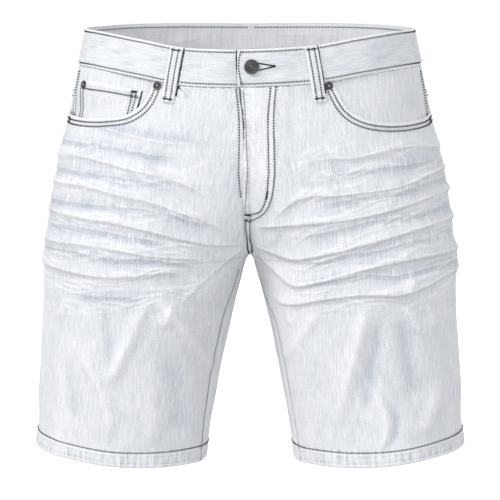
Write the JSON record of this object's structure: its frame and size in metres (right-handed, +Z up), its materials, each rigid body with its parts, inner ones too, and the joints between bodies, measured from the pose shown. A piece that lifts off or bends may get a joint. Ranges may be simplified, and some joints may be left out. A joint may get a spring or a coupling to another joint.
{
  "type": "denim shorts",
  "caption": "Straight denim shorts with front, coin and back pockets, belt loops, a lapped fly and a fastened waist button, hollow and filled out as if worn.",
  "frame": {"origin": "centre of the waist opening, level with the waistband's top edge at the side seams", "axes": "+Z up from the hems to the waist, +X towards the wearer's left, -Y out of the front"},
  "size_m": [0.473, 0.275, 0.4781],
  "materials": {
    "denim": "very light icy blue-grey wash, twill weave",
    "dark_metal": "dark gunmetal plating"
  },
  "bodies": {
    "root": {"front_left": "denim", "front_right": "denim", "back_left": "denim", "back_right": "denim", "yoke_left": "denim", "yoke_right": "denim", "waistband": "denim", "belt_loop_front_left": "denim", "belt_loop_front_right": "denim", "belt_loop_side_left": "denim", "belt_loop_side_right": "denim", "belt_loop_back": "denim", "pocket_facing_left": "denim", "pocket_facing_right": "denim", "coin_pocket": "denim", "back_pocket_left": "denim", "back_pocket_right": "denim", "fly_facing": "denim", "fly_shield": "denim", "hem_left": "denim", "hem_right": "denim", "button": "dark_metal", "rivet_left": "dark_metal", "rivet_right": "dark_metal", "rivet_coin": "dark_metal"}
  },
  "joints": []
}
